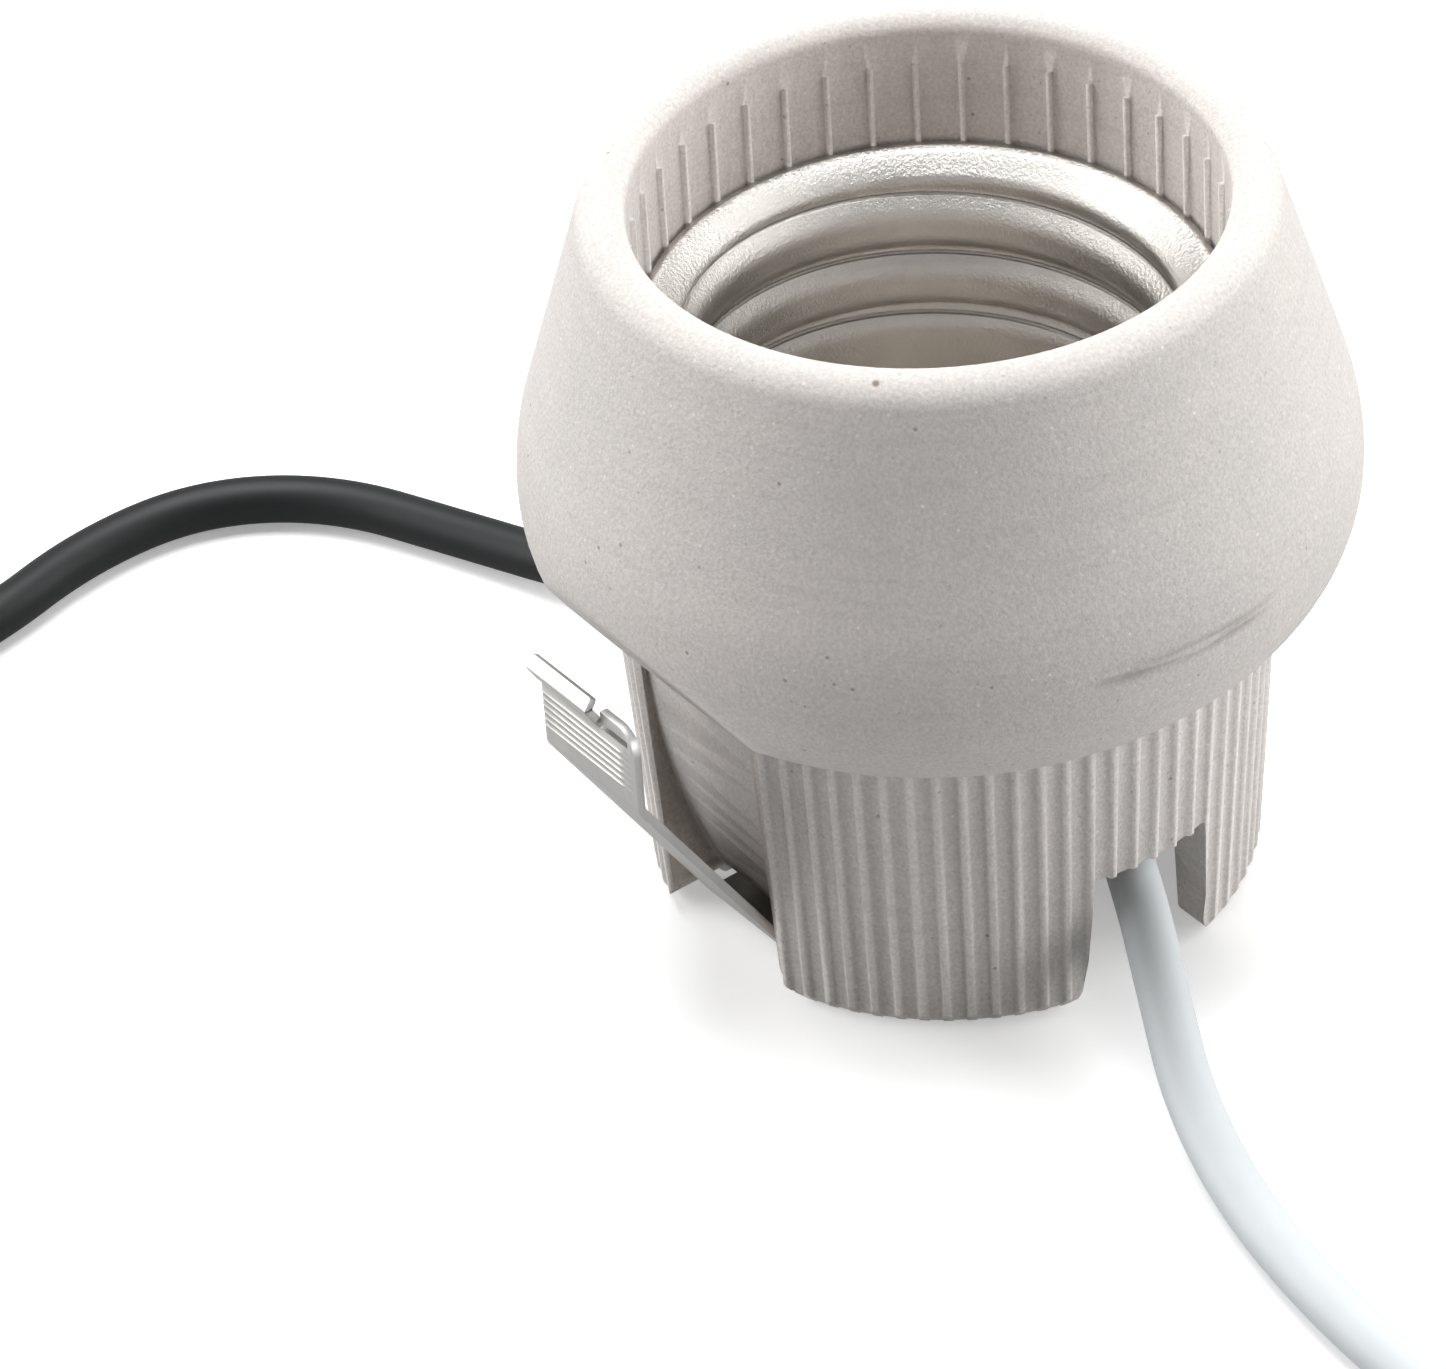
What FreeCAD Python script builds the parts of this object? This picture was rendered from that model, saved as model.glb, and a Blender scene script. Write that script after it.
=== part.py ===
import FreeCAD, Part
import math
import os
from FreeCAD import Vector

# Ceramic lamp holder, medium screw base, with two spring clips and two leads.
# Millimetres. Origin at the centre of the neck's foot, +Z up out of the mouth.
# The clips stand at -X and +X, and the leads leave through notches at -Y and +Y.

os.makedirs("parts", exist_ok=True)

UP = Vector(0, 0, 1)
AXIS = Vector(0, 0, 0)
cutter_overshoot = 1.0

# Ceramic collar
collar_foot_z = 17.5
collar_foot_radius = 17.15
collar_radius = 21.45
collar_widest_z = 24.6
flank_foot_radius = 20.9
flank_foot_z = 28.6
flank_top_radius = 17.53
flank_top_z = 39.8
rim_top_radius = 15.9
rim_top_z = 41.05
mouth_radius = 14.95
mouth_edge_z = 40.1
rim_chords = 6

# Ceramic neck and its ribs
neck_foot_radius = 15.8
neck_top_radius = 16.85
neck_rib_count = 80
neck_rib_width = 0.6
neck_rib_height = 0.2
rib_crown_share = 0.45
foot_chamfer = 0.35
collar_join = 1.0

# Ribs on the mouth wall
mouth_rib_count = 40
mouth_rib_width = 0.5
mouth_rib_height = 0.25
mouth_rib_top_z = 38.4

# Ceramic floor, shell bore and the hollow below the floor
floor_top_z = 13.5
floor_under_z = 8.6
shell_bore_radius = 14.1
shell_seat_z = 32.9
hollow_radius = 13.9
hollow_chamfer = 0.6
clip_wall_inner_x = 10.9
clip_wall_foot_z = 2.2
clip_wall_foot_x = 12.5
clip_wall_middle_x = 14.95
clip_wall_middle_z = 10.0
clip_wall_top_x = 15.8
clip_wall_top_z = 16.0
clip_wall_turn_x = 16.15
clip_wall_turn_z = 17.2
recess_lip_inset = 0.2
recess_lip_rise = 0.4

# Openings in the neck
notch_foot_width = 8.0
notch_top_width = 7.3
notch_height = 8.2
recess_width = 9.0
slot_corner_radius = 1.2

# Screw shell
shell_thickness = 0.35
shell_minor_radius = 12.3
thread_depth = 0.9
thread_pitch = 3.63
top_crest_z = 30.2
thread_turns = 2
shell_foot_radius = 11.3
shell_wall_foot_z = 17.5
shell_opening_radius = 5.6
thread_flat_share = 0.35
shell_flare_radius = 13.6
shell_lip_radius = 14.7

# Shell rivets and the washer below the one that carries no lead
rivet_x = 7.4
rivet_shank_radius = 1.25
rivet_head_radius = 2.0
rivet_head_height = 0.6
hole_clearance = 0.05
tag_thickness = 0.5

# Centre contact
cup_radius = 3.2
cup_wall = 0.5
cup_flange_radius = 4.1
cup_flange_thickness = 0.4
cup_top_z = 15.4
cup_lip_thickness = 0.4
cup_washer_radius = 4.3
cup_washer_thickness = 0.4
plunger_radius = 2.0
plunger_collar_radius = 2.6
plunger_collar_height = 1.0
plunger_top_z = 17.2
plunger_dome_height = 0.8
running_clearance = 0.1
spring_wire = 0.5
spring_mean_radius = 1.95
spring_turns = 5
spring_side_count = 6
end_gap = 0.05

# Spring clips: the strip's outer face, as distance from the axis and height
clip_thickness = 0.45
clip_width = 7.7
clip_leg_x = 10.3
clip_leg_top_z = 6.6
clip_foot_z = 0.5
clip_root_x = 13.3
clip_standoff = 1.25
clip_crease_z = 15.6
clip_plate_top_z = 20.5
clip_fold_z = 19.4
clip_lip_out = 0.7
clip_lip_rise = 2.0
clip_lip_overlap = 0.6
clip_lip_width = 4.35
clip_slit_width = 2.9
clip_slit_height = 0.45
clip_corner_radius = 1.3
clip_bend_radius = 1.0
serration_count = 6
serration_pitch = 0.42
serration_height = 0.16
serration_rise = 0.19
serration_start = 1.1
serration_margin = 0.9
barb_width = 1.8
barb_top_z = 6.0
barb_foot_z = 4.9
barb_out = 0.75
pocket_clearance = 0.3

# Terminals and leads
terminal_neck_width = 2.4
terminal_web_width = 1.7
terminal_web_length = 1.2
barrel_radius = 1.4
barrel_mouth_strands = 0.5
strand_radius = 0.6
barrel_height_z = 6.7
lead_radius = 1.35
lead_bend_share = 0.45
bare_end_length = 9.0
white_ring_radius = 2.5
white_barrel_start = 3.4
white_barrel_end = 8.2
white_barrel_degrees = 242.8
white_straight_run = 9.2
black_ring_radius = 4.6
black_barrel_start = 5.2
black_barrel_end = 9.0
black_barrel_degrees = 90
black_straight_run = 7.0

# Route of the white lead past its terminal and the notch, chosen by hand
white_route = [
    Vector(-3.3, -20.9, 4.2),
    Vector(-5.8, -26.2, 1.9),
    Vector(-8.6, -33.5, 1.35),
    Vector(-10.4, -41.5, 1.35),
    Vector(-10.9, -49.8, 1.35),
    Vector(-10.6, -59.0, 1.35),
]
white_loop_centre = Vector(5.0, -64.0, 1.35)
white_loop_start = 195

# Route of the black lead, which leaves on the far side
black_route = [
    Vector(-1.0, 22.2, 4.1),
    Vector(-3.2, 29.0, 1.8),
    Vector(-6.2, 37.0, 1.35),
    Vector(-9.6, 44.6, 1.35),
    Vector(-15.2, 49.0, 1.35),
    Vector(-22.4, 50.2, 1.35),
    Vector(-30.2, 49.2, 1.35),
    Vector(-38.0, 49.6, 1.35),
]
black_loop_centre = Vector(-42.0, 66.0, 1.35)
black_loop_start = 255

loop_radius = 15.3
loop_points = 9
loop_step = 30

# Values that follow from the sizes above
shell_floor_z = floor_top_z + shell_thickness
clip_plate_x = collar_radius + clip_standoff
tag_under_z = floor_under_z - tag_thickness
cup_foot_z = tag_under_z - cup_washer_thickness - cup_flange_thickness
cup_bore_radius = cup_radius - cup_wall
cup_bore_foot_z = cup_foot_z + cup_wall
cup_lip_under_z = cup_top_z - cup_lip_thickness
plunger_collar_top_z = cup_lip_under_z - end_gap
plunger_foot_z = plunger_collar_top_z - plunger_collar_height


def save(name, shape):
    """Write one named piece and print its solids and volume."""
    shape.exportStep("parts/" + name + ".step")
    print(name, len(shape.Solids), "solids", round(shape.Volume, 1), "mm3", shape.isValid())


def on_profile(radius, height):
    """A point of a turned profile, at a distance from the axis and a height."""
    return Vector(radius, 0, height)


def line(start, end):
    return Part.LineSegment(start, end).toShape()


def arc(start, middle, end):
    return Part.Arc(start, middle, end).toShape()


def turned(edges):
    """Solid of revolution about the Z axis from closed profile edges."""
    face = Part.Face(Part.Wire(edges))
    return face.revolve(AXIS, UP, 360)


def tangent_arc(start, direction, end):
    """Arc that leaves its start along a direction and reaches its end."""
    chord = end - start
    along = Vector(direction).normalize()
    sideways = (chord - along * chord.dot(along)).normalize()
    radius = chord.Length ** 2 / (2 * chord.dot(sideways))
    centre = start + sideways * radius
    middle_direction = ((start - centre) + (end - centre)).normalize()
    return arc(start, centre + middle_direction * radius, end)


def in_chords(edge, count):
    """A small rounding as even chords, which keeps a turned body light."""
    points = edge.discretize(Number=count + 1)
    return [line(a, b) for a, b in zip(points, points[1:])]


def dome(radius, foot_z, top_z):
    """Arc from a rim up to the axis, with its centre on the axis."""
    rise = top_z - foot_z
    sphere_radius = (radius ** 2 + rise ** 2) / (2 * rise)
    half_spread = math.asin(radius / sphere_radius) / 2
    middle_z = top_z - sphere_radius * (1 - math.cos(half_spread))
    middle = on_profile(sphere_radius * math.sin(half_spread), middle_z)
    return arc(on_profile(radius, foot_z), middle, on_profile(0, top_z))


def closed_polygon(points):
    return Part.Wire([line(a, b) for a, b in zip(points, points[1:] + points[:1])])


def ring(outer, inner, foot, top):
    """A flat ring or tube between two heights."""
    height = top - foot
    solid = Part.makeCylinder(outer, height, Vector(0, 0, foot))
    return solid.cut(Part.makeCylinder(inner, height, Vector(0, 0, foot)))


def ribbed_polygon(radius, rib_height, rib_width, count):
    """Points round a ribbed neck at height zero, four for each flat-topped rib."""
    foot_angle = rib_width / 2 / radius
    crown_angle = foot_angle * rib_crown_share
    points = []
    for index in range(count):
        middle = index * 2 * math.pi / count
        for distance, angle in (
            (radius, middle - foot_angle),
            (radius + rib_height, middle - crown_angle),
            (radius + rib_height, middle + crown_angle),
            (radius, middle + foot_angle),
        ):
            points.append(Vector(distance * math.cos(angle), distance * math.sin(angle), 0))
    return points


def tapered_stack(outline, levels):
    """Solid with flat sides from one outline, scaled about the axis at each height."""

    def at(level):
        scale, height = level
        return [Vector(point.x * scale, point.y * scale, height) for point in outline]

    sections = [at(level) for level in levels]
    faces = [Part.Face(closed_polygon(sections[0])), Part.Face(closed_polygon(sections[-1]))]
    for lower, upper in zip(sections, sections[1:]):
        for index in range(len(outline)):
            before = index - 1
            faces.append(Part.Face(closed_polygon(
                [lower[before], lower[index], upper[index], upper[before]])))
    return Part.makeSolid(Part.makeShell(faces))


def mouth_rib(angle):
    """Flat-topped rib on the mouth wall, from the shell seat up."""
    root = mouth_radius + mouth_rib_height
    crown = mouth_radius - mouth_rib_height
    half_foot = mouth_rib_width / 2
    half_crown = half_foot * rib_crown_share
    outline = closed_polygon([
        Vector(root, -half_foot, shell_seat_z),
        Vector(crown, -half_crown, shell_seat_z),
        Vector(crown, half_crown, shell_seat_z),
        Vector(root, half_foot, shell_seat_z),
    ])
    rib = Part.Face(outline).extrude(Vector(0, 0, mouth_rib_top_z - shell_seat_z))
    return turned_copy(rib, angle)


def bent_path(points, bend_radius):
    """Straight runs in the XZ plane joined by tangent arcs."""
    edges = []
    last = points[0]
    for before, corner, after in zip(points, points[1:], points[2:]):
        incoming = (corner - before).normalize()
        outgoing = (after - corner).normalize()
        half_turn = incoming.getAngle(outgoing) / 2
        setback = bend_radius * math.tan(half_turn)
        start = corner - incoming * setback
        end = corner + outgoing * setback
        to_centre = (outgoing - incoming).normalize()
        centre = corner + to_centre * (bend_radius / math.cos(half_turn))
        edges.append(line(last, start))
        edges.append(arc(start, centre - to_centre * bend_radius, end))
        last = end
    edges.append(line(last, points[-1]))
    return Part.Wire(edges)


def sheet_strip(points, bend_radius, thickness, low_y, high_y):
    """A folded strip: the path is its outer face, and the thickness lies to its left."""
    outer = bent_path(points, bend_radius)
    face = outer.makeOffset2D(thickness, 0, True, True)
    if face.BoundBox.XMin < outer.BoundBox.XMin - thickness / 2:
        face = outer.makeOffset2D(-thickness, 0, True, True)
    face.translate(Vector(0, low_y, 0))
    return face.extrude(Vector(0, high_y - low_y, 0))


def box_between(low, high):
    size = high - low
    return Part.makeBox(size.x, size.y, size.z, low)


def slot_cutter(foot_width, top_width, height, near, far):
    """Slot from the foot up, with rounded foot corners, cut outward along +X."""
    corner = slot_corner_radius
    foot = foot_width / 2
    top = top_width / 2
    below = -cutter_overshoot
    slant = corner * (1 - math.sqrt(0.5))

    def at(side, level):
        return Vector(near, side, level)

    edges = [
        line(at(-foot - corner, below), at(-foot - corner, 0)),
        arc(at(-foot - corner, 0), at(-foot - slant, slant), at(-foot, corner)),
        line(at(-foot, corner), at(-top, height)),
        line(at(-top, height), at(top, height)),
        line(at(top, height), at(foot, corner)),
        arc(at(foot, corner), at(foot + slant, slant), at(foot + corner, 0)),
        line(at(foot + corner, 0), at(foot + corner, below)),
        line(at(foot + corner, below), at(-foot - corner, below)),
    ]
    return Part.Face(Part.Wire(edges)).extrude(Vector(far - near, 0, 0))


def turned_copy(shape, degrees):
    copy = shape.copy()
    copy.rotate(AXIS, UP, degrees)
    return copy


# Ceramic body
def collar():
    """Flared collar above the neck: convex belly, straight flank and round rim."""
    crease = on_profile(collar_foot_radius, collar_foot_z)
    widest = on_profile(collar_radius, collar_widest_z)
    flank_foot = on_profile(flank_foot_radius, flank_foot_z)
    flank_top = on_profile(flank_top_radius, flank_top_z)
    rim_top = on_profile(rim_top_radius, rim_top_z)
    mouth_edge = on_profile(mouth_radius, mouth_edge_z)
    axis_top = on_profile(0, mouth_edge_z)
    axis_foot = on_profile(0, collar_foot_z)
    return turned([
        line(axis_foot, crease),
        tangent_arc(widest, -UP, crease),
        tangent_arc(widest, UP, flank_foot),
        line(flank_foot, flank_top),
        *in_chords(tangent_arc(flank_top, flank_top - flank_foot, rim_top), rim_chords),
        *reversed(in_chords(tangent_arc(mouth_edge, UP, rim_top), rim_chords)),
        line(mouth_edge, axis_top),
        line(axis_top, axis_foot),
    ])


def neck():
    """Tapered neck with vertical ribs and a foot chamfer, run up into the collar to join it."""
    slope = (neck_top_radius - neck_foot_radius) / collar_foot_z
    outline = ribbed_polygon(neck_foot_radius, neck_rib_height, neck_rib_width, neck_rib_count)
    top_radius = neck_top_radius + slope * collar_join
    return tapered_stack(outline, [
        (1 - foot_chamfer / neck_foot_radius, 0),
        (1, foot_chamfer),
        (top_radius / neck_foot_radius, collar_foot_z + collar_join),
    ])


def mouth_and_bore():
    """Space for the lamp: ribbed mouth wall, shell seat and shell bore."""
    mouth = Part.makeCylinder(mouth_radius, rim_top_z - shell_seat_z, Vector(0, 0, shell_seat_z))
    ribs = [mouth_rib(index * 360 / mouth_rib_count) for index in range(mouth_rib_count)]
    bore = Part.makeCylinder(shell_bore_radius, shell_seat_z - floor_top_z, Vector(0, 0, floor_top_z))
    return mouth.cut(ribs).fuse(bore)


def hollow_below_floor():
    """Wiring space below the floor, with flats that leave a wall behind each clip recess."""
    chamfer_radius = hollow_radius + hollow_chamfer
    round_space = Part.makeCylinder(hollow_radius, floor_under_z)
    chamfer = Part.makeCone(chamfer_radius, hollow_radius, hollow_chamfer)
    between_walls = box_between(
        Vector(-clip_wall_inner_x, -hollow_radius * 2, 0),
        Vector(clip_wall_inner_x, hollow_radius * 2, floor_under_z),
    )
    return round_space.fuse(chamfer).common(between_walls)


def recess_cutter():
    """Clip recess at +X: its back wall curves inward to the foot and out into the collar."""
    outside = collar_radius + cutter_overshoot
    wall_foot = on_profile(clip_wall_foot_x, clip_wall_foot_z)
    wall_middle = on_profile(clip_wall_middle_x, clip_wall_middle_z)
    wall_top = on_profile(clip_wall_top_x, clip_wall_top_z)
    turn = on_profile(clip_wall_turn_x, clip_wall_turn_z)
    lip = on_profile(collar_foot_radius - recess_lip_inset, collar_foot_z + recess_lip_rise)
    lip_outside = on_profile(outside, collar_foot_z + recess_lip_rise)
    foot_outside = on_profile(outside, clip_wall_foot_z)
    face = Part.Face(Part.Wire([
        arc(wall_foot, wall_middle, wall_top),
        arc(wall_top, turn, lip),
        line(lip, lip_outside),
        line(lip_outside, foot_outside),
        line(foot_outside, wall_foot),
    ]))
    face.translate(Vector(0, -recess_width / 2, 0))
    channel = face.extrude(Vector(0, recess_width, 0))
    passage_start = clip_wall_inner_x - cutter_overshoot
    passage = slot_cutter(recess_width, recess_width, clip_wall_foot_z, passage_start, outside)
    return channel.fuse(passage)


def barb_pocket():
    """Pocket in the inner face of the clip wall that holds the clip's barb."""
    half = barb_width / 2 + pocket_clearance
    return box_between(
        Vector(clip_wall_inner_x - cutter_overshoot, -half, barb_foot_z - pocket_clearance),
        Vector(clip_leg_x + clip_thickness + barb_out + pocket_clearance, half, barb_top_z + pocket_clearance),
    )


def ceramic_body():
    blank = collar().fuse(neck())
    cutters = [mouth_and_bore(), hollow_below_floor()]
    notch_start = neck_foot_radius / 2
    notch = slot_cutter(notch_foot_width, notch_top_width, notch_height, notch_start, collar_radius)
    cutters.append(turned_copy(notch, 90))
    cutters.append(turned_copy(notch, -90))
    for angle in (0, 180):
        cutters.append(turned_copy(recess_cutter(), angle))
        cutters.append(turned_copy(barb_pocket(), angle))
    floor_thickness = floor_top_z - floor_under_z
    for x, radius in ((0, cup_radius), (-rivet_x, rivet_shank_radius), (rivet_x, rivet_shank_radius)):
        foot = Vector(x, 0, floor_under_z)
        cutters.append(Part.makeCylinder(radius + hole_clearance, floor_thickness, foot))
    return blank.cut(cutters)


# Screw shell
def shell_profile():
    """Inner face of the shell, from its bottom opening to its lip."""
    wall_radius = shell_minor_radius
    groove_radius = wall_radius + thread_depth
    flat = thread_pitch / 2 * thread_flat_share
    lip_z = shell_seat_z + end_gap + shell_thickness
    points = [on_profile(wall_radius, shell_wall_foot_z)]
    level = top_crest_z - (thread_turns - 0.5) * thread_pitch
    points.append(on_profile(wall_radius, level - thread_pitch / 2 + flat / 2))
    for turn in range(thread_turns):
        points.append(on_profile(groove_radius, level - flat / 2))
        points.append(on_profile(groove_radius, level + flat / 2))
        crest_z = level + thread_pitch / 2
        points.append(on_profile(wall_radius, crest_z - flat / 2))
        points.append(on_profile(wall_radius, crest_z + flat / 2))
        level += thread_pitch
    points.append(on_profile(shell_flare_radius, lip_z))
    points.append(on_profile(shell_lip_radius, lip_z))
    foot_edge = on_profile(shell_foot_radius, shell_floor_z)
    edges = [line(on_profile(shell_opening_radius, shell_floor_z), foot_edge)]
    edges.append(tangent_arc(points[0], -UP, foot_edge))
    edges.extend(line(a, b) for a, b in zip(points, points[1:]))
    return Part.Wire(edges)


def screw_shell():
    """Drawn cup with rolled thread, flared mouth and a lip that rests on its seat."""
    inner = shell_profile()
    sharp_corners = 2
    section = inner.makeOffset2D(shell_thickness, sharp_corners, True, True)
    if section.BoundBox.ZMin > shell_floor_z - shell_thickness / 2:
        section = inner.makeOffset2D(-shell_thickness, sharp_corners, True, True)
    wall = section.revolve(AXIS, UP, 360)
    holes = []
    for side in (-rivet_x, rivet_x):
        start = Vector(side, 0, shell_floor_z - shell_thickness * 2)
        holes.append(Part.makeCylinder(rivet_shank_radius + hole_clearance, shell_thickness * 4, start))
    return wall.cut(holes)


# Rivets and washers
def shell_rivet():
    """Solid rivet through the shell, the floor and the tag below it."""
    foot = tag_under_z - rivet_head_height
    top = shell_floor_z + rivet_head_height
    shank = Part.makeCylinder(rivet_shank_radius, shell_floor_z - tag_under_z, Vector(0, 0, tag_under_z))
    lower = Part.makeCylinder(rivet_head_radius, rivet_head_height, Vector(0, 0, foot))
    upper = turned([
        line(on_profile(0, shell_floor_z), on_profile(rivet_head_radius, shell_floor_z)),
        dome(rivet_head_radius, shell_floor_z, top),
        line(on_profile(0, top), on_profile(0, shell_floor_z)),
    ])
    return shank.fuse([lower, upper])


def shell_rivets():
    rivets = []
    for side in (-rivet_x, rivet_x):
        rivet = shell_rivet()
        rivet.translate(Vector(side, 0, 0))
        rivets.append(rivet)
    return Part.makeCompound(rivets)


def rivet_washer():
    washer = ring(white_ring_radius, rivet_shank_radius + hole_clearance, tag_under_z, floor_under_z)
    washer.translate(Vector(-rivet_x, 0, 0))
    return washer


def cup_washer():
    foot = tag_under_z - cup_washer_thickness
    return ring(cup_washer_radius, cup_radius + hole_clearance, foot, tag_under_z)


# Centre contact
def contact_cup():
    """Brass cup through the floor, flanged above it and spun over below it."""
    body = Part.makeCylinder(cup_radius, cup_top_z - cup_foot_z, Vector(0, 0, cup_foot_z))
    flange = Part.makeCylinder(cup_flange_radius, cup_flange_thickness, Vector(0, 0, floor_top_z))
    spun = Part.makeCylinder(cup_flange_radius, cup_flange_thickness, Vector(0, 0, cup_foot_z))
    bore_height = cup_lip_under_z - cup_bore_foot_z
    bore = Part.makeCylinder(cup_bore_radius, bore_height, Vector(0, 0, cup_bore_foot_z))
    lip_foot = Vector(0, 0, cup_lip_under_z - cutter_overshoot)
    lip_hole = Part.makeCylinder(plunger_radius + running_clearance, cutter_overshoot * 2, lip_foot)
    return body.fuse([flange, spun]).cut([bore, lip_hole])


def contact_plunger():
    """Domed brass contact with a collar that the cup's lip holds in."""
    collar_foot = Vector(0, 0, plunger_foot_z)
    collar_disc = Part.makeCylinder(plunger_collar_radius, plunger_collar_height, collar_foot)
    stem_top = plunger_top_z - plunger_dome_height
    tip = turned([
        line(on_profile(0, plunger_foot_z), on_profile(plunger_radius, plunger_foot_z)),
        line(on_profile(plunger_radius, plunger_foot_z), on_profile(plunger_radius, stem_top)),
        dome(plunger_radius, stem_top, plunger_top_z),
        line(on_profile(0, plunger_top_z), on_profile(0, plunger_foot_z)),
    ])
    return collar_disc.fuse(tip)


def contact_spring():
    """Open coil spring between the cup's bottom and the plunger."""
    wire_radius = spring_wire / 2
    foot = cup_bore_foot_z + wire_radius + end_gap
    height = plunger_foot_z - wire_radius - end_gap - foot
    helix = Part.makeHelix(height / spring_turns, height, spring_mean_radius)
    helix.translate(Vector(0, 0, foot))
    start = Vector(spring_mean_radius, 0, foot)
    climb = Vector(0, spring_mean_radius, height / spring_turns / (2 * math.pi))
    across = climb.cross(UP).normalize()
    rise = across.cross(climb).normalize()
    corners = []
    for index in range(spring_side_count):
        angle = 2 * math.pi * index / spring_side_count
        offset = across * math.cos(angle) + rise * math.sin(angle)
        corners.append(start + offset * wire_radius)
    return helix.makePipeShell([closed_polygon(corners)], True, False)


# Spring clips
def spring_clip():
    """One folded strip: barbed leg, foot, sloping arm and serrated plate with a lip."""
    half = clip_width / 2
    strip = sheet_strip(
        [
            on_profile(clip_leg_x, clip_leg_top_z),
            on_profile(clip_leg_x, clip_foot_z),
            on_profile(clip_root_x, clip_foot_z),
            on_profile(clip_plate_x, clip_crease_z),
            on_profile(clip_plate_x, clip_plate_top_z),
        ],
        clip_bend_radius, clip_thickness, -half, half,
    )
    lip_end = -half + clip_lip_width
    face_x = clip_plate_x - clip_thickness - cutter_overshoot
    beyond_x = clip_plate_x + cutter_overshoot
    above_lip = box_between(
        Vector(face_x, -half - cutter_overshoot, clip_fold_z),
        Vector(beyond_x, lip_end, clip_plate_top_z + cutter_overshoot),
    )
    slit = box_between(
        Vector(face_x, lip_end - end_gap, clip_fold_z),
        Vector(beyond_x, lip_end + clip_slit_width, clip_fold_z + clip_slit_height),
    )
    corner_square = box_between(
        Vector(face_x, half - clip_corner_radius, clip_plate_top_z - clip_corner_radius),
        Vector(beyond_x, half + cutter_overshoot, clip_plate_top_z + cutter_overshoot),
    )
    corner_centre = Vector(face_x, half - clip_corner_radius, clip_plate_top_z - clip_corner_radius)
    corner_round = Part.makeCylinder(clip_corner_radius, beyond_x - face_x, corner_centre, Vector(1, 0, 0))
    strip = strip.cut([above_lip, slit, corner_square.cut(corner_round)])
    lip = sheet_strip(
        [
            on_profile(clip_plate_x, clip_fold_z - clip_lip_overlap),
            on_profile(clip_plate_x, clip_fold_z),
            on_profile(clip_plate_x + clip_lip_out, clip_fold_z + clip_lip_rise),
        ],
        clip_bend_radius, clip_thickness, -half, lip_end,
    )
    barb_inner = clip_leg_x + clip_thickness
    window = box_between(
        Vector(clip_leg_x - cutter_overshoot, -barb_width / 2, barb_foot_z),
        Vector(barb_inner + cutter_overshoot, barb_width / 2, barb_top_z),
    )
    barb_outline = closed_polygon([
        Vector(clip_leg_x, -barb_width / 2, barb_top_z),
        Vector(barb_inner, -barb_width / 2, barb_top_z),
        Vector(barb_inner + barb_out, -barb_width / 2, barb_foot_z),
        Vector(clip_leg_x + barb_out, -barb_width / 2, barb_foot_z),
    ])
    barb = Part.Face(barb_outline).extrude(Vector(0, barb_width, 0))
    return strip.cut(window).fuse([lip, barb, serrations(half)]).removeSplitter()


def serrations(half):
    """Row of rolled ridges across the plate's outer face, short of one edge."""
    first = clip_crease_z + serration_start
    points = [Vector(clip_plate_x - clip_thickness / 2, -half, first)]
    for index in range(serration_count):
        level = first + index * serration_pitch
        points.append(Vector(clip_plate_x, -half, level))
        points.append(Vector(clip_plate_x + serration_height, -half, level + serration_rise))
    last = first + serration_count * serration_pitch
    points.append(Vector(clip_plate_x, -half, last))
    points.append(Vector(clip_plate_x - clip_thickness / 2, -half, last))
    return Part.Face(closed_polygon(points)).extrude(Vector(0, clip_width - serration_margin, 0))


# Terminals and leads
def heading(degrees):
    angle = math.radians(degrees)
    return Vector(math.cos(angle), math.sin(angle), 0)


def terminal(hole_radius, ring_radius, barrel_start, barrel_end, centre, degrees):
    """Ring tag with a crimped barrel below its tail."""
    tag = ring(ring_radius, hole_radius, tag_under_z, floor_under_z)
    half = terminal_neck_width / 2
    tail = box_between(
        Vector((ring_radius + hole_radius) / 2, -half, tag_under_z),
        Vector(barrel_start + terminal_web_length, half, floor_under_z),
    )
    length = barrel_end - barrel_start
    start = Vector(barrel_start, 0, barrel_height_z)
    barrel = Part.makeCylinder(barrel_radius, length, start, Vector(1, 0, 0))
    half_web = terminal_web_width / 2
    web = box_between(
        Vector(barrel_start, -half_web, barrel_height_z),
        Vector(barrel_start + terminal_web_length, half_web, tag_under_z),
    )
    barrel_bore = Part.makeCylinder(strand_radius, length, start, Vector(1, 0, 0))
    piece = tag.fuse([tail, barrel, web]).cut(barrel_bore)
    piece.rotate(AXIS, UP, degrees)
    piece.translate(centre)
    return piece


def crimped_strands(barrel_start, barrel_end, centre, degrees):
    """Bare conductor held in the terminal's barrel, showing a little at its mouth."""
    along = heading(degrees)
    first = barrel_start - barrel_mouth_strands
    start = centre + along * first + Vector(0, 0, barrel_height_z)
    return Part.makeCylinder(strand_radius, barrel_end - first, start, along)


def from_terminal(centre, degrees, barrel_end, straight_run, route):
    """Start a route at the end of a terminal's barrel, with a straight run out of it."""
    start = centre + heading(degrees) * barrel_end + Vector(0, 0, barrel_height_z)
    return [start, start + heading(degrees) * straight_run] + route


def with_loop(route, centre, start_degrees, step):
    """Add the loop of put-away length to a route."""
    points = list(route)
    for index in range(loop_points):
        angle = math.radians(start_degrees + index * step)
        points.append(centre + Vector(loop_radius * math.cos(angle), loop_radius * math.sin(angle), 0))
    return points


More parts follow.
